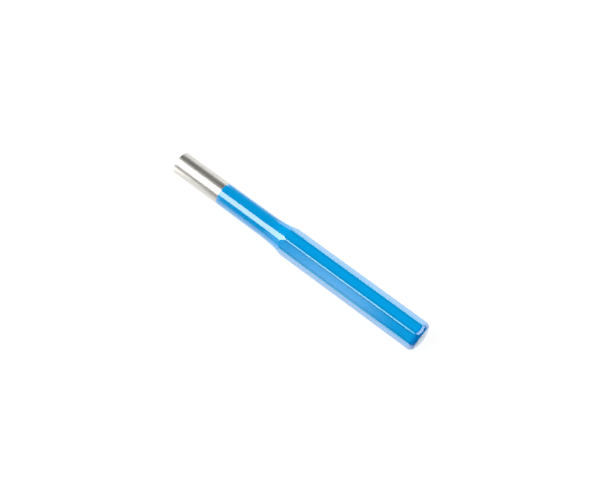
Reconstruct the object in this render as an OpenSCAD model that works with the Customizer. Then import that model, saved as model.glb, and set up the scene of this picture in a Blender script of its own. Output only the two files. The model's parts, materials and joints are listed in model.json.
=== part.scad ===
// Pin punch: one forged steel punch, dipped in lacquer from the head down to its bare pin.
// It lies on one flat of its octagonal shank. Lengths are in millimetres.

/* [Overall] */
// Length from the working face to the top of the struck head, lacquer included
overall_len = 150; // [110:5:250]

/* [Pin] */
// Diameter of the ground pin, a little under the hole that it goes into
pin_d = 11.8; // [3:0.1:13]
// Width and depth of the small bevel round the working face
pin_bevel = 0.3; // [0.1:0.1:1]
// Length of ground pin that the lacquer leaves bare
bare_len = 28.5; // [10:0.5:50]

/* [Neck] */
// Diameter of the steel neck where the flare starts, which it grows to from the pin
neck_d = 12; // [11.8:0.1:13]
// Length from the working face to where the flare starts
neck_len = 56; // [35:1:100]
// Radius of the hollow flare turned between the neck and the bar
flare_r = 70; // [20:5:150]

/* [Shank] */
// Distance across the flats of the steel bar
shank_af = 14; // [13:0.5:24]
// Radius rolled along the eight corners of the bar
corner_r = 0.7; // [0.2:0.1:3]

/* [Head] */
// Diameter of the struck face inside its bevel
head_face_d = 12.4; // [8:0.2:13.6]
// Angle between the head's bevel and the axis, in degrees
head_bevel_angle = 40; // [25:5:65]
// Radius of the slight crown on the struck face
crown_r = 16; // [12:1:100]

/* [Lacquer] */
// Thickness of the dipped film
coat_t = 0.1; // [0.05:0.05:0.4]

/* [Hidden] */

// The bar has eight sides, and a flat, not a corner, faces straight down
bar_sides = 8;
side_angle = 360 / bar_sides;
// How far each cutting shape runs past what it cuts
overrun = 1;
smooth = 96;

// The punch in steel is shorter than the lacquered one by the film on its head
steel_len = overall_len - coat_t;
pin_r = pin_d / 2;
neck_r = neck_d / 2;
face_r = head_face_d / 2;
// Height of the axis over the flat that the punch lies on
axis_z = shank_af / 2 + coat_t;
// Radius out to the crest of a rolled corner, and one that clears the lacquered corners
corner_reach = (shank_af / 2 - corner_r) / cos(side_angle / 2) + corner_r;
clear_r = corner_reach + coat_t + overrun;
// Where the crown meets the bevel, along the axis from the working face
rim_x = steel_len - crown_r + sqrt(pow(crown_r, 2) - pow(face_r, 2));

// Place along the axis of the head's bevel at radius r, moved out square to itself by grow
function bevel_x(r, grow) =
    rim_x + (grow - (r - face_r) * cos(head_bevel_angle)) / sin(head_bevel_angle);

// Section of the octagonal bar, thicker all round by grow. Each rolled corner is a narrow
// round land that reaches as far out as its rolled radius does.
module bar_section(grow) {
    intersection() {
        rotate(side_angle / 2)
            circle(r = (shank_af / 2 + grow) / cos(side_angle / 2), $fn = bar_sides);
        circle(r = corner_reach + grow, $fn = smooth);
    }
}

// What the lathe takes away beside the pin, the neck, the flare and the pin's bevel
module neck_waste(grow) {
    polygon([
        [pin_r + grow, -overrun],
        [pin_r + grow, bare_len],
        [neck_r + grow, neck_len],
        [clear_r, neck_len],
        [clear_r, -overrun]
    ]);
    translate([neck_r + flare_r, neck_len])
        circle(r = flare_r - grow, $fn = smooth);
    polygon([
        [pin_r - pin_bevel - overrun, -overrun],
        [pin_r + overrun, -overrun],
        [pin_r + overrun, pin_bevel + overrun]
    ]);
}

// What bounds the head: the crown of the struck face
module crown_limit(grow) {
    translate([0, -overrun])
        square([clear_r, steel_len - crown_r + overrun]);
    translate([0, steel_len - crown_r])
        circle(r = crown_r + grow, $fn = smooth);
}

// What bounds the head: the bevel round the struck face
module bevel_limit(grow) {
    polygon([
        [0, -overrun],
        [clear_r, -overrun],
        [clear_r, bevel_x(clear_r, grow)],
        [0, bevel_x(0, grow)]
    ]);
}

// Half section of the turned outline, from the place start along the axis to the head
module turned_section(grow, start) {
    intersection() {
        difference() {
            translate([0, start])
                square([clear_r, overall_len - start + overrun]);
            neck_waste(grow);
        }
        crown_limit(grow);
        bevel_limit(grow);
    }
}

// The punch standing on its working face: the bar inside the turned outline
module punch_form(grow, start) {
    intersection() {
        translate([0, 0, -overrun])
            linear_extrude(overall_len + 2 * overrun)
                bar_section(grow);
        rotate_extrude($fn = smooth)
            turned_section(grow, start);
    }
}

// Lays a standing form down along X, its head towards +X, and centres its length
module lay_down() {
    translate([-overall_len / 2, 0, axis_z])
        rotate([0, 90, 0])
            children();
}

// One forging: ground pin, neck, flare, octagonal shank and crowned head
module steel_punch() {
    color("silver")
        lay_down()
            punch_form(0, 0);
}

// The film over neck, flare, shank and head, which follows the steel at an even thickness
module lacquer_coat() {
    color("dodgerblue")
        lay_down()
            difference() {
                punch_form(coat_t, bare_len);
                punch_form(0, 0);
            }
}

steel_punch();
lacquer_coat();
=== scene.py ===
import bpy
import json
import math
from mathutils import Matrix, Quaternion, Vector


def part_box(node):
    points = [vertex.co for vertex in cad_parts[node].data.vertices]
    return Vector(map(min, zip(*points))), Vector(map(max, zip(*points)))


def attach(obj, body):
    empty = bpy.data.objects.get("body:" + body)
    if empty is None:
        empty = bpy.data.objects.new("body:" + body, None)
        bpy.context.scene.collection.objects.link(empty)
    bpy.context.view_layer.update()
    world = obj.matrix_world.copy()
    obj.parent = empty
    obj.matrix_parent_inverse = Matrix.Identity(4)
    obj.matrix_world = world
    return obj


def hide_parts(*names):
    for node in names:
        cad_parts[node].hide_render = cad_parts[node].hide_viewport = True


mm = 0.001
white = (1, 1, 1, 1)

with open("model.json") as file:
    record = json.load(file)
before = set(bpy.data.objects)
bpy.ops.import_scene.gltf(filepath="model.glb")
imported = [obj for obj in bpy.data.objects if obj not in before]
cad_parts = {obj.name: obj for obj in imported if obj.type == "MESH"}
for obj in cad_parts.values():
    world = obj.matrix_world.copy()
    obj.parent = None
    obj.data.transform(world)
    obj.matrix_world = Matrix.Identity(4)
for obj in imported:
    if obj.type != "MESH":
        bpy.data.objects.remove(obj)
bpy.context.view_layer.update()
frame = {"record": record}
steelLow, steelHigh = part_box("steel_punch")
coatLow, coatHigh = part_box("lacquer_coat")
mounts = {mount["name"]: mount for mount in frame["record"]["mounts"]}
print("frame loaded")


def hexToLinear(hexColour):
    # sRGB hex as a designer writes it, turned to the linear values that the nodes take
    channels = [int(hexColour[i:i + 2], 16) / 255 for i in (1, 3, 5)]
    linear = [c / 12.92 if c <= 0.04045 else ((c + 0.055) / 1.055) ** 2.4 for c in channels]
    return (*linear, 1.0)


def addNode(tree, kind, settings=None, inputs=None):
    # a socket given as an input is linked, anything else is set as its value
    node = tree.nodes.new(kind)
    for name, value in (settings or {}).items():
        setattr(node, name, value)
    for name, value in (inputs or {}).items():
        if isinstance(value, bpy.types.NodeSocket):
            tree.links.new(value, node.inputs[name])
        else:
            node.inputs[name].default_value = value
    return node


def newMaterial(name):
    material = bpy.data.materials.new(name)
    material.use_nodes = True
    material.node_tree.nodes.clear()
    return material, material.node_tree


def newMesh(name, points, faces, material):
    mesh = bpy.data.meshes.new(name)
    mesh.from_pydata(points, [], faces)
    mesh.polygons.foreach_set("use_smooth", [True] * len(mesh.polygons))
    mesh.validate()
    mesh.update()
    piece = bpy.data.objects.new(name, mesh)
    bpy.context.scene.collection.objects.link(piece)
    mesh.materials.append(material)
    return piece


# The punch as it is forged, ground and turned. Lengths are in millimetres from the working
# face, and what the frame already says is read from it.
punch = {
    "sides": 8,
    "pinRadius": mounts["working_pin"]["dims"]["r_mm"],
    "pinBevel": 0.45,           # round the working face, worn a little wider than it was turned
    "neckRadius": 6.0,
    "neckLength": 56.0,
    "flareRadius": 70.0,
    "cornerRadius": 0.7,        # rolled along the eight corners
    "faceRadius": 6.2,
    "bevelAngle": 40.0,         # degrees between the head's bevel and the axis
    "crownRadius": 16.0,
    "flareBlend": 0.08,         # how softly the flats run out into the flare
    "headBlend": 1.0,           # how softly they run out into the head's bevel
    "rimRound": 0.5,            # radius between the head's bevel and its struck face
    "lengthBare": (coatLow.x - steelLow.x) / mm,
    "lengthSteel": (steelHigh.x - steelLow.x) / mm,
    "halfFlats": (steelHigh.y - steelLow.y) / 2 / mm,
    "film": (coatHigh.y - steelHigh.y) / mm,
    "filmDrawn": 0.03,          # how much thinner the film is at the edge of a flat
}
axisHeight = (coatLow.z + coatHigh.z) / 2

# How finely the skin is cut: numbers of faces, and lengths in millimetres
detail = {
    "flatSteps": 20,            # across one flat
    "cornerSteps": 6,           # round one rolled corner
    "workingFaceSteps": 8,      # from the middle of the working face out to its bevel
    "pinBevelSteps": 3,         # round each edge of that bevel
    "pinSteps": 24,
    "lipSteps": 4,              # round the lip of the film at the dip line
    "neckSteps": 16,
    "flareRound": 9.5,          # length of flare before the flats can start to show
    "flareSteps": 12,           # along that length
    "flareRing": 0.2,           # from ring to ring where the flats run out
    "shankSteps": 16,
    "shoulderLead": 0.5,        # length of shank before the head that has no ring
    "headRing": 0.1,            # from ring to ring on the head's bevel
    "rimSteps": 6,              # round the rim of the struck face
    "crownSteps": 20,           # from that rim in to the middle
    "onAxis": 0.000001,         # a ring smaller than this is one point
}


def sectionAngles():
    # angles round the axis, closer together on the rolled corners
    half = math.pi / punch["sides"]
    core = (punch["halfFlats"] - punch["cornerRadius"]) / math.cos(half)
    edge = math.atan2(core * math.sin(half), punch["halfFlats"])
    angles = []
    for side in range(punch["sides"]):
        middle = 2 * half * side
        for step in range(detail["flatSteps"]):
            angles.append(middle - edge + 2 * edge * step / detail["flatSteps"])
        for step in range(detail["cornerSteps"]):
            angles.append(middle + edge + 2 * (half - edge) * step / detail["cornerSteps"])
    return angles


def barRadius(angle, grow):
    # distance from the axis to the octagon with rolled corners, at that angle
    half = math.pi / punch["sides"]
    flats = punch["halfFlats"] + grow
    corner = punch["cornerRadius"] + grow
    core = (flats - corner) / math.cos(half)
    edge = core * math.sin(half)
    drawn = punch["filmDrawn"] if grow > 0 else 0.0
    off = abs((angle + half) % (2 * half) - half)
    if math.tan(off) * flats <= edge:
        return flats / math.cos(off) - drawn * (math.tan(off) * flats / edge) ** 2
    lean = half - off
    return core * math.cos(lean) + math.sqrt(corner ** 2 - (core * math.sin(lean)) ** 2) - drawn


def clearRadius(grow):
    # a radius that is outside the bar all round, where the bar alone sets the shape
    crest = punch["halfFlats"] / math.cos(math.pi / punch["sides"])
    return crest + punch["headBlend"] + grow


def softMin(a, b, blend):
    mix = min(1.0, max(0.0, 0.5 + 0.5 * (b - a) / blend))
    return b + (a - b) * mix - blend * mix * (1 - mix)


def steps(start, end, count):
    return [start + (end - start) * i / count for i in range(1, count + 1)]


def rounded(before, corner, after, radius, count):
    # arc of that radius in place of the corner of an outline
    a = (Vector(before) - Vector(corner)).normalized()
    b = (Vector(after) - Vector(corner)).normalized()
    half = a.angle(b) / 2
    centre = Vector(corner) + (a + b).normalized() * radius / math.sin(half)
    first = Vector(corner) + a * radius / math.tan(half) - centre
    last = Vector(corner) + b * radius / math.tan(half) - centre
    turn = first.angle(last)
    points = []
    for i in range(count + 1):
        t = i / count
        spread = (first * math.sin((1 - t) * turn) + last * math.sin(t * turn)) / math.sin(turn)
        points.append(tuple(centre + spread))
    return points


# The turned outlines below are lists of (along, radius, blend), where blend says how softly
# the flats run out there. Steel has a grow of 0, and the film's outside grows by its thickness.
def pinOutline():
    # working face, its bevel with rounded edges, ground pin
    pin = punch["pinRadius"]
    bevel = punch["pinBevel"]
    edgeRound = bevel / 3
    inside = (0.0, pin - 2 * bevel)
    first = (0.0, pin - bevel)
    second = (bevel, pin)
    behind = (3 * bevel, pin)
    points = [(0.0, 0.0)]
    points += [(0.0, r) for r in steps(0.0, inside[1], detail["workingFaceSteps"])]
    points += rounded(inside, first, second, edgeRound, detail["pinBevelSteps"])
    points += rounded(first, second, behind, edgeRound, detail["pinBevelSteps"])
    points += [(x, pin) for x in steps(behind[0], punch["lengthBare"], detail["pinSteps"])]
    return [(x, r, punch["flareBlend"]) for x, r in points]


def lipOutline():
    # the film ends at its dip line in a soft lip
    film = punch["film"]
    points = []
    for angle in steps(0.0, math.pi / 2, detail["lipSteps"]):
        x = punch["lengthBare"] + film * (1 - math.cos(angle))
        points.append((x, punch["pinRadius"] + film * math.sin(angle), punch["flareBlend"]))
    return points


def neckOutline(start, grow):
    # from there to the flare the neck grows a little
    pin = punch["pinRadius"]
    bare = punch["lengthBare"]
    slope = (punch["neckRadius"] - pin) / (punch["neckLength"] - bare)
    along = [start] + steps(start, punch["neckLength"], detail["neckSteps"])
    return [(x, pin + grow + slope * (x - bare), punch["flareBlend"]) for x in along]


def flareOutline(grow):
    # the hollow flare, on until it has left the bar
    neck = punch["neckRadius"]
    flare = punch["flareRadius"]
    start = punch["neckLength"]
    shown = start + detail["flareRound"]
    reach = math.sqrt((flare - grow) ** 2 - (neck + flare - clearRadius(grow)) ** 2)
    rings = math.ceil((start + reach - shown) / detail["flareRing"])
    points = []
    for x in steps(start, shown, detail["flareSteps"]) + steps(shown, start + reach, rings):
        radius = neck + flare - math.sqrt((flare - grow) ** 2 - (x - start) ** 2)
        points.append((x, radius, punch["flareBlend"]))
    return points


def headOutline(start, grow):
    # the shank, then the head's bevel, its rounded rim and its crowned face to the middle
    bevel = math.radians(punch["bevelAngle"])
    crown = punch["crownRadius"] + grow
    centre = punch["lengthSteel"] - punch["crownRadius"]
    rim = centre + math.sqrt(punch["crownRadius"] ** 2 - punch["faceRadius"] ** 2)

    def bevelAt(radius):
        fall = (radius - punch["faceRadius"]) * math.cos(bevel)
        return rim + (grow - fall) / math.sin(bevel)

    def faceAt(radius):
        return centre + math.sqrt(crown ** 2 - radius ** 2)

    # film and steel have their rims at radii that differ a little: where the line of the
    # bevel, which passes the crown's centre at this distance, meets the crown
    past = (bevelAt(0.0) - centre) * math.sin(bevel)
    rimRadius = past * math.cos(bevel) - math.sqrt(crown ** 2 - past ** 2) * math.sin(bevel)
    inner = rimRadius - 2 * punch["rimRound"]
    clear = clearRadius(grow)
    shoulder = bevelAt(clear)
    arc = rounded((shoulder, clear), (bevelAt(rimRadius), rimRadius), (faceAt(inner), inner),
                  punch["rimRound"], detail["rimSteps"])
    rings = math.ceil((arc[0][0] - shoulder) / detail["headRing"])
    shankEnd = shoulder - detail["shoulderLead"]
    points = [(x, clear) for x in steps(start, shankEnd, detail["shankSteps"])]
    points.append((shoulder, clear))
    points += zip(steps(shoulder, arc[0][0], rings), steps(clear, arc[0][1], rings))
    points += arc[1:]
    points += [(faceAt(r), r) for r in steps(arc[-1][1], 0.0, detail["crownSteps"])]
    return [(x, r, punch["headBlend"]) for x, r in points]


def backOutline(grow):
    flare = flareOutline(grow)
    return flare + headOutline(flare[-1][0], grow)


def loft(outline, grow, points, angles):
    # rings of points round the axis, one for each point of the outline, poles where it is zero
    rings = []
    for along, radius, blend in outline:
        x = steelLow.x + along * mm
        if radius < detail["onAxis"]:
            rings.append([len(points)])
            points.append((x, 0.0, axisHeight))
            continue
        ring = []
        for angle in angles:
            r = softMin(radius, barRadius(angle, grow), blend) * mm
            ring.append(len(points))
            points.append((x, r * math.sin(angle), axisHeight + r * math.cos(angle)))
        rings.append(ring)
    return rings


def skin(rings, faces, outward):
    # faces between neighbouring rings, turned so that they look away from the metal
    for first, second in zip(rings, rings[1:]):
        count = max(len(first), len(second))
        for i in range(count):
            j = (i + 1) % count
            if len(first) == 1:
                face = (first[0], second[i], second[j])
            elif len(second) == 1:
                face = (first[i], second[0], first[j])
            else:
                face = (first[i], second[i], second[j], first[j])
            faces.append(face if outward else face[::-1])


def buildSteel(material):
    points, faces = [], []
    outline = pinOutline() + neckOutline(punch["lengthBare"], 0.0)[1:] + backOutline(0.0)
    skin(loft(outline, 0.0, points, sectionAngles()), faces, True)
    return newMesh("punchSteel", points, faces, material)


def buildLacquer(material):
    points, faces = [], []
    angles = sectionAngles()
    film = punch["film"]
    inner = neckOutline(punch["lengthBare"], 0.0) + backOutline(0.0)
    outer = lipOutline() + neckOutline(punch["lengthBare"] + film, film)[1:] + backOutline(film)
    innerRings = loft(inner, 0.0, points, angles)
    outerRings = loft(outer, film, points, angles)
    skin(innerRings, faces, False)
    skin([innerRings[0]] + outerRings, faces, True)
    return newMesh("lacquerFilm", points, faces, material)


def placeOnPunch(tree):
    # sockets that both finishes follow: the point itself, how far along it is, how far to the
    # back, how high over the axis, and how far from the axis
    coords = addNode(tree, "ShaderNodeTexCoord")
    place = addNode(tree, "ShaderNodeSeparateXYZ", None, {0: coords.outputs["Object"]})
    height = addNode(tree, "ShaderNodeMath", {"operation": "SUBTRACT"},
                     {0: place.outputs["Z"], 1: axisHeight})
    across = addNode(tree, "ShaderNodeCombineXYZ", None,
                     {"X": 0.0, "Y": place.outputs["Y"], "Z": height.outputs[0]})
    radius = addNode(tree, "ShaderNodeVectorMath", {"operation": "LENGTH"}, {0: across.outputs[0]})
    return {"point": coords.outputs["Object"], "along": place.outputs["X"],
            "back": place.outputs["Y"], "height": height.outputs[0],
            "radius": radius.outputs["Value"]}


# Tool steel, ground between wheels: bright and a little warm. Its fine lines run round the
# pin, so lamps smear into soft bands along it, a little more than round it.
steelLook = {
    "colour": "#D9D7D1",
    "darkLine": "#CBC9C3",
    "roughness": (0.36, 0.40),  # in the lines that shine most and least
    "grain": 0.25,              # 0 is even all ways, 1 smears all along the pin
    "grainTurn": 0.25,          # of a whole turn, which lays the smear across the lines
    "lineSpacing": 0.6,         # mm; real grit is finer, and this is as fine as shows
    "lineLength": 9.0,          # mm
    "lineDepth": 0.0003,        # mm
    "lineDetail": 3.0,          # finer lines inside the lines, and how strong they are
    "lineRagged": 0.6,
    "lineSpan": (0.3, 0.7),     # the part of the pattern's range that the roughness follows
}


def groundSteel():
    material, tree = newMaterial("groundToolSteel")
    place = placeOnPunch(tree)
    # along the pin this runs with x, and over the flat face with the distance from the axis
    run = addNode(tree, "ShaderNodeMath", {"operation": "SUBTRACT"},
                  {0: place["along"], 1: place["radius"]})
    lineSpace = addNode(tree, "ShaderNodeCombineXYZ", None,
                        {"X": run.outputs[0], "Y": place["back"], "Z": place["height"]})
    lineScale = 1 / (steelLook["lineSpacing"] * mm)
    stretch = 1 / (steelLook["lineLength"] * mm)
    drawnOut = addNode(tree, "ShaderNodeVectorMath", {"operation": "MULTIPLY"},
                       {0: lineSpace.outputs[0], 1: (lineScale, stretch, stretch)})
    lines = addNode(tree, "ShaderNodeTexNoise", None,
                    {"Vector": drawnOut.outputs[0], "Scale": 1.0,
                     "Detail": steelLook["lineDetail"], "Roughness": steelLook["lineRagged"]})
    tone = addNode(tree, "ShaderNodeMix", {"data_type": "RGBA"},
                   {"Factor": lines.outputs[0], "A": hexToLinear(steelLook["darkLine"]),
                    "B": hexToLinear(steelLook["colour"])})
    gloss = addNode(tree, "ShaderNodeMapRange", None,
                    {"Value": lines.outputs[0],
                     "From Min": steelLook["lineSpan"][0], "From Max": steelLook["lineSpan"][1],
                     "To Min": steelLook["roughness"][0], "To Max": steelLook["roughness"][1]})
    bump = addNode(tree, "ShaderNodeBump", None,
                   {"Height": lines.outputs[0], "Strength": 1.0,
                    "Distance": steelLook["lineDepth"] * mm})
    around = addNode(tree, "ShaderNodeTangent", {"direction_type": "RADIAL", "axis": "X"})
    shader = addNode(tree, "ShaderNodeBsdfPrincipled", None,
                     {"Base Color": tone.outputs["Result"], "Metallic": 1.0,
                      "Roughness": gloss.outputs["Result"], "Normal": bump.outputs["Normal"],
                      "Anisotropic": steelLook["grain"],
                      "Anisotropic Rotation": steelLook["grainTurn"],
                      "Tangent": around.outputs[0]})
    addNode(tree, "ShaderNodeOutputMaterial", None, {"Surface": shader.outputs["BSDF"]})
    return material


# Dipped gloss lacquer under a clear skin: an even bright blue with a faint mottle and orange
# peel. Light and shade are painted in on top of that: a painted highlight on the rolled corners
# with a painted dark halo beside them, painted shade round the neck and on the head's bevel,
# and a painted pale reflection of the table over the struck face. Each further colour comes in
# over the lengths beside it, in mm, where it starts and where it is full: the first two from the
# axis outwards, the others along the punch from its middle.
lacquerLook = {
    "colour": "#00A2E7",
    "mottle": "#009BE1",
    "darkHalo": "#0088C4",      # painted shade: a dark halo beside the rolled corners
    "darkHaloFrom": (7.22, 7.40),
    "cornerHighlight": "#2FAFE8",          # painted highlight on the rolled corners
    "cornerHighlightFrom": (7.40, 7.56),
    "neckShade": "#0097D9",       # painted shade, a little deeper round the neck
    "neckShadeFrom": (-8.0, -16.0),
    "headShade": "#0081D2",          # painted shade, deepest on the head's bevel
    "headShadeFrom": (69.8, 72.6),
    "paleReflection": "#B8D4EE",          # painted reflection: the table's white mirrored pale over the struck face, in patches
    "paleReflectionFrom": (73.5, 73.8),
    "reflectionLeast": 0.75,          # how much of that painted reflection shows between the patches, where 1 is all
    "reflectionPatchSize": 1.5,           # mm from patch to patch
    "reflectionPatchDetail": 3.0,         # how many finer patches lie inside them
    "reflectionPatchSpan": (0.35, 0.65),  # the part of the pattern's range that the painted reflection follows
    "mottleSize": 9.0,          # mm from patch to patch
    "mottleDetail": 2.0,
    "roughness": 0.1,
    "ior": 1.6,
    "coatIor": 1.7,
    "coatRoughness": 0.04,
    "peelSize": 2.5,            # mm from hump to hump
    "peelDetail": 1.0,
    "peelDepth": 0.001,         # mm
}


def dippedLacquer():
    material, tree = newMaterial("dippedBlueLacquer")
    place = placeOnPunch(tree)
    mottle = addNode(tree, "ShaderNodeTexNoise", None,
                     {"Vector": place["point"], "Detail": lacquerLook["mottleDetail"],
                      "Scale": 1 / (lacquerLook["mottleSize"] * mm)})
    # patches that break up the painted reflection over the struck face
    reflectionPatches = addNode(tree, "ShaderNodeTexNoise", None,
                     {"Vector": place["point"], "Detail": lacquerLook["reflectionPatchDetail"],
                      "Scale": 1 / (lacquerLook["reflectionPatchSize"] * mm)})
    reflectionShare = addNode(tree, "ShaderNodeMapRange", None,
                     {"Value": reflectionPatches.outputs[0],
                      "From Min": lacquerLook["reflectionPatchSpan"][0],
                      "From Max": lacquerLook["reflectionPatchSpan"][1],
                      "To Min": lacquerLook["reflectionLeast"], "To Max": 1.0})
    tone = addNode(tree, "ShaderNodeMix", {"data_type": "RGBA"},
                   {"Factor": mottle.outputs[0], "A": hexToLinear(lacquerLook["mottle"]),
                    "B": hexToLinear(lacquerLook["colour"])})
    # every layer below is painted light or shade: the dark halo and highlight at the corners,
    # shade round the neck and on the head's bevel, and the pale reflection over the struck face
    layers = [
        ("darkHalo", place["radius"], 1.0),
        ("cornerHighlight", place["radius"], 1.0),
        ("neckShade", place["along"], 1.0),
        ("headShade", place["along"], 1.0),
        ("paleReflection", place["along"], reflectionShare.outputs["Result"]),
    ]
    for layer, way, most in layers:
        start, full = lacquerLook[layer + "From"]
        share = addNode(tree, "ShaderNodeMapRange", {"interpolation_type": "SMOOTHSTEP"},
                        {"Value": way, "From Min": start * mm, "From Max": full * mm,
                         "To Max": most})
        tone = addNode(tree, "ShaderNodeMix", {"data_type": "RGBA"},
                       {"Factor": share.outputs["Result"], "A": tone.outputs["Result"],
                        "B": hexToLinear(lacquerLook[layer])})
    peel = addNode(tree, "ShaderNodeTexNoise", None,
                   {"Vector": place["point"], "Detail": lacquerLook["peelDetail"],
                    "Scale": 1 / (lacquerLook["peelSize"] * mm)})
    bump = addNode(tree, "ShaderNodeBump", None,
                   {"Height": peel.outputs[0], "Strength": 1.0,
                    "Distance": lacquerLook["peelDepth"] * mm})
    shader = addNode(tree, "ShaderNodeBsdfPrincipled", None,
                     {"Base Color": tone.outputs["Result"],
                      "Roughness": lacquerLook["roughness"], "IOR": lacquerLook["ior"],
                      "Coat Weight": 1.0, "Coat Roughness": lacquerLook["coatRoughness"],
                      "Coat IOR": lacquerLook["coatIor"],
                      "Normal": bump.outputs["Normal"], "Coat Normal": bump.outputs["Normal"]})
    addNode(tree, "ShaderNodeOutputMaterial", None, {"Surface": shader.outputs["BSDF"]})
    return material


steelPiece = buildSteel(groundSteel())
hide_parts("steel_punch")
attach(steelPiece, "root")
print("steel built:", len(steelPiece.data.polygons), "faces")

lacquerPiece = buildLacquer(dippedLacquer())
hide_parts("lacquer_coat")
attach(lacquerPiece, "root")
print("lacquer built:", len(lacquerPiece.data.polygons), "faces")


# The studio: a white table with two pools of light on it, a large soft box over the front that
# leans towards the pin, a smaller one over the back that leans towards the head, and a room
# that is dark but for a few screens and walls
studio = {
    "tableSize": 6.0,           # m
    "tableColour": "#FAFAFA",
    "shadowShare": 0.12,        # how much of the table's white still takes shadow
    "openWhite": 1.035,         # makes up for that share, so that the open table reads white
    # Pools of light on the table that gloss reflects: what the table has outside them, then each
    # one's light, its middle and how far it is full in m, and how many times as far it ends
    "poolRest": 0.1,
    "pools": {
        "aroundPunch": {"light": 1.12, "middle": (-0.03, 0.025, 0.0), "half": (0.13, 0.045, 1.0),
                        "end": 1.8},
        "beforePin": {"light": 2.0, "middle": (-0.13, -0.06, 0.0), "half": (0.05, 0.06, 1.0),
                      "end": 1.3},
    },
    # Soft boxes: radiance, degrees from upright to the front and then to the pin, and how many
    # degrees they spread from front to back and along the punch
    "boxes": {
        "frontBox": {"radiance": 4.4, "front": 34.8, "left": 26.0, "deep": 46.2, "wide": 38.0},
        "headBox": {"radiance": 3.05, "front": -26.0, "left": -22.5, "deep": 34.0, "wide": 38.0},
    },
    "boxDistance": 3.0,         # m
    # The room beyond: its ceiling's light, and more in zones along the punch. A zone starts, is
    # full, starts to end and ends at these x of a direction, and its ring says how bright it is
    # by degrees from upright to the front round the punch's axis.
    "ceiling": 0.012,
    "zones": {
        "pastPin": {
            "along": (-0.97, -0.88, -0.66, -0.60),
            "ring": [(-90, 3.4), (-66, 3.4), (-57, 0.0), (-20, 0.0), (-6, 4.0), (35, 4.0),
                     (50, 1.4), (90, 1.4)],
        },
        "overPin": {
            "along": (-0.62, -0.56, -0.405, -0.36),
            "ring": [(-90, 1.3), (-74, 1.3), (-64, 0.0), (62, 0.0), (74, 0.45), (90, 0.45)],
        },
        "frontScreen": {
            "along": (-0.32, -0.235, -0.21, -0.155),
            "ring": [(-90, 0.0), (58, 0.0), (66, 0.8), (69, 1.05), (76, 0.0), (90, 0.0)],
        },
        "backEdge": {
            "along": (-0.305, -0.27, 0.05, 0.15),
            "ring": [(-90, 3.0), (-68, 3.0), (-60, 0.0), (90, 0.0)],
        },
        "backWall": {
            "along": (-0.45, -0.3, 0.5, 0.7),
            "ring": [(-90, 0.5), (-74, 0.1), (-66, 0.0), (90, 0.0)],
        },
        "backScreen": {
            "along": (0.05, 0.15, 0.5, 0.6),
            "ring": [(-90, 2.3), (-55, 2.3), (-44, 0.0), (90, 0.0)],
        },
    },
}


def buildTable():
    material, tree = newMaterial("paperTable")
    path = addNode(tree, "ShaderNodeLightPath")
    seen = addNode(tree, "ShaderNodeMath", {"operation": "ADD"},
                   {0: path.outputs["Is Camera Ray"], 1: path.outputs["Is Glossy Ray"]})
    through = addNode(tree, "ShaderNodeMath", {"operation": "ADD", "use_clamp": True},
                      {0: seen.outputs[0], 1: path.outputs["Is Transmission Ray"]})
    share = addNode(tree, "ShaderNodeMath", {"operation": "MULTIPLY"},
                    {0: through.outputs[0], 1: 1 - studio["shadowShare"]})
    paper = addNode(tree, "ShaderNodeBsdfDiffuse", None,
                    {"Color": hexToLinear(studio["tableColour"])})
    coords = addNode(tree, "ShaderNodeTexCoord")
    total = studio["poolRest"]
    for pool in studio["pools"].values():
        fromMiddle = addNode(tree, "ShaderNodeVectorMath", {"operation": "SUBTRACT"},
                             {0: coords.outputs["Object"], 1: pool["middle"]})
        halves = addNode(tree, "ShaderNodeVectorMath", {"operation": "DIVIDE"},
                         {0: fromMiddle.outputs[0], 1: pool["half"]})
        away = addNode(tree, "ShaderNodeVectorMath", {"operation": "LENGTH"},
                       {0: halves.outputs[0]})
        lit = addNode(tree, "ShaderNodeMapRange", {"interpolation_type": "SMOOTHSTEP"},
                      {"Value": away.outputs["Value"], "From Min": 1.0, "From Max": pool["end"],
                       "To Min": pool["light"], "To Max": 0.0})
        total = addNode(tree, "ShaderNodeMath", {"operation": "ADD"},
                        {0: total, 1: lit.outputs["Result"]}).outputs[0]
    # the camera itself sees an even white
    strength = addNode(tree, "ShaderNodeMix", {"data_type": "FLOAT"},
                       {"Factor": path.outputs["Is Camera Ray"],
                        "A": total, "B": studio["openWhite"]})
    glow = addNode(tree, "ShaderNodeEmission", None,
                   {"Color": white, "Strength": strength.outputs["Result"]})
    mixed = addNode(tree, "ShaderNodeMixShader", None,
                    {0: share.outputs[0], 1: paper.outputs[0], 2: glow.outputs[0]})
    addNode(tree, "ShaderNodeOutputMaterial", None, {"Surface": mixed.outputs[0]})
    half = studio["tableSize"] / 2
    corners = [(-half, -half, 0.0), (half, -half, 0.0), (half, half, 0.0), (-half, half, 0.0)]
    newMesh("paperTable", corners, [(0, 1, 2, 3)], material)


def buildBox(name, box):
    front, left = math.radians(box["front"]), math.radians(box["left"])
    facing = Vector((-math.sin(left), -math.sin(front) * math.cos(left),
                     math.cos(front) * math.cos(left)))
    along = (Vector((1, 0, 0)) - facing * facing.x).normalized()
    across = facing.cross(along)
    distance = studio["boxDistance"]
    light = bpy.data.lights.new(name, "AREA")
    light.shape = "RECTANGLE"
    light.size = 2 * distance * math.tan(math.radians(box["wide"]) / 2)
    light.size_y = 2 * distance * math.cos(left) * math.tan(math.radians(box["deep"]) / 2)
    light.energy = box["radiance"] * math.pi * light.size * light.size_y
    lamp = bpy.data.objects.new(name, light)
    bpy.context.scene.collection.objects.link(lamp)
    turn = Matrix((along, across, facing)).transposed()
    lamp.matrix_world = Matrix.LocRotScale(facing * distance, turn, None)


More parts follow.
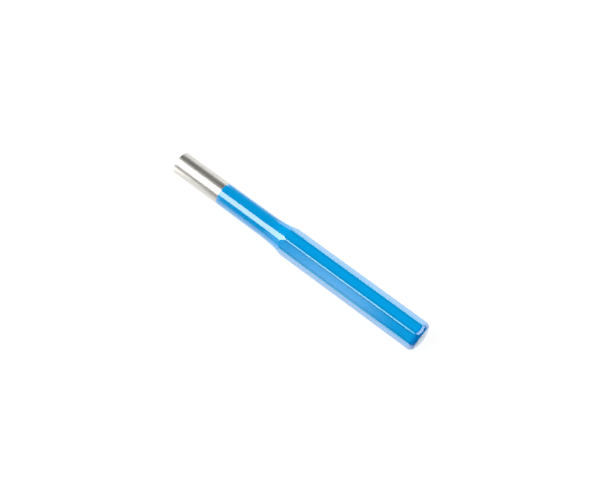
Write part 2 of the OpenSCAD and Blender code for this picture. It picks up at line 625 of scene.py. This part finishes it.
def buildRoom():
    world = bpy.data.worlds.new("darkRoom")
    bpy.context.scene.world = world
    world.use_nodes = True
    tree = world.node_tree
    tree.nodes.clear()
    coords = addNode(tree, "ShaderNodeTexCoord")
    way = addNode(tree, "ShaderNodeSeparateXYZ", None, {0: coords.outputs["Generated"]})
    towards = addNode(tree, "ShaderNodeMath", {"operation": "MULTIPLY"},
                      {0: way.outputs["Y"], 1: -1.0})
    turn = addNode(tree, "ShaderNodeMath", {"operation": "ARCTAN2"},
                   {0: towards.outputs[0], 1: way.outputs["Z"]})
    # 0 at the horizon behind, 1 at the horizon in front
    place = addNode(tree, "ShaderNodeMapRange", None,
                    {"Value": turn.outputs[0], "From Min": -math.pi / 2, "From Max": math.pi / 2})
    total = studio["ceiling"]
    for zone in studio["zones"].values():
        start, full, ending, end = zone["along"]
        brightest = max(light for _, light in zone["ring"])
        ring = addNode(tree, "ShaderNodeValToRGB", None, {0: place.outputs["Result"]})
        stops = ring.color_ramp.elements
        stops.remove(stops[1])
        for number, (angle, light) in enumerate(zone["ring"]):
            position = (angle + 90) / 180
            stop = stops[0] if number == 0 else stops.new(position)
            stop.position = position
            stop.color = (*[light / brightest] * 3, 1)
        rise = addNode(tree, "ShaderNodeMapRange", {"interpolation_type": "SMOOTHSTEP"},
                       {"Value": way.outputs["X"], "From Min": start, "From Max": full})
        fall = addNode(tree, "ShaderNodeMapRange", {"interpolation_type": "SMOOTHSTEP"},
                       {"Value": way.outputs["X"], "From Min": end, "From Max": ending,
                        "To Max": brightest})
        window = addNode(tree, "ShaderNodeMath", {"operation": "MULTIPLY"},
                         {0: rise.outputs["Result"], 1: fall.outputs["Result"]})
        total = addNode(tree, "ShaderNodeMath", {"operation": "MULTIPLY_ADD"},
                        {0: window.outputs[0], 1: ring.outputs["Color"],
                         2: total}).outputs[0]
    path = addNode(tree, "ShaderNodeLightPath")
    # what the camera itself sees past the table is plain white
    strength = addNode(tree, "ShaderNodeMix", {"data_type": "FLOAT"},
                       {"Factor": path.outputs["Is Camera Ray"], "A": total, "B": 1.0})
    background = addNode(tree, "ShaderNodeBackground", None,
                         {"Color": white, "Strength": strength.outputs["Result"]})
    addNode(tree, "ShaderNodeOutputWorld", None, {"Surface": background.outputs[0]})


# The photograph's view: the punch's corner edge faces the lens, its pin points away. Angles are
# in degrees, the distance and the point aimed at in m, the lens and its film in mm.
view = {
    "azimuth": 36.754,
    "elevation": 62.464,
    "roll": 2.712,
    "distance": 0.4716,
    "aim": (0.00183, 0.0, axisHeight - 0.00024),
    "lens": 59.1,
    "film": 36.0,
    "nearest": 0.01,
    "farthest": 50.0,
}


def buildCamera():
    azimuth, elevation = math.radians(view["azimuth"]), math.radians(view["elevation"])
    back = Vector((math.sin(azimuth) * math.cos(elevation),
                   -math.cos(azimuth) * math.cos(elevation), math.sin(elevation)))
    level = Vector((math.cos(azimuth), math.sin(azimuth), 0.0))
    right = Quaternion(back, math.radians(view["roll"])) @ level
    lens = bpy.data.cameras.new("camera")
    lens.lens = view["lens"]
    lens.sensor_width = view["film"]
    lens.clip_start = view["nearest"]
    lens.clip_end = view["farthest"]
    camera = bpy.data.objects.new("camera", lens)
    bpy.context.scene.collection.objects.link(camera)
    turn = Matrix((right, back.cross(right), back)).transposed()
    place = Vector(view["aim"]) + back * view["distance"]
    camera.matrix_world = Matrix.LocRotScale(place, turn, None)
    bpy.context.scene.camera = camera


buildTable()
for name, box in studio["boxes"].items():
    buildBox(name, box)
buildRoom()
buildCamera()
bpy.context.scene.view_settings.view_transform = "Standard"
print("studio built")
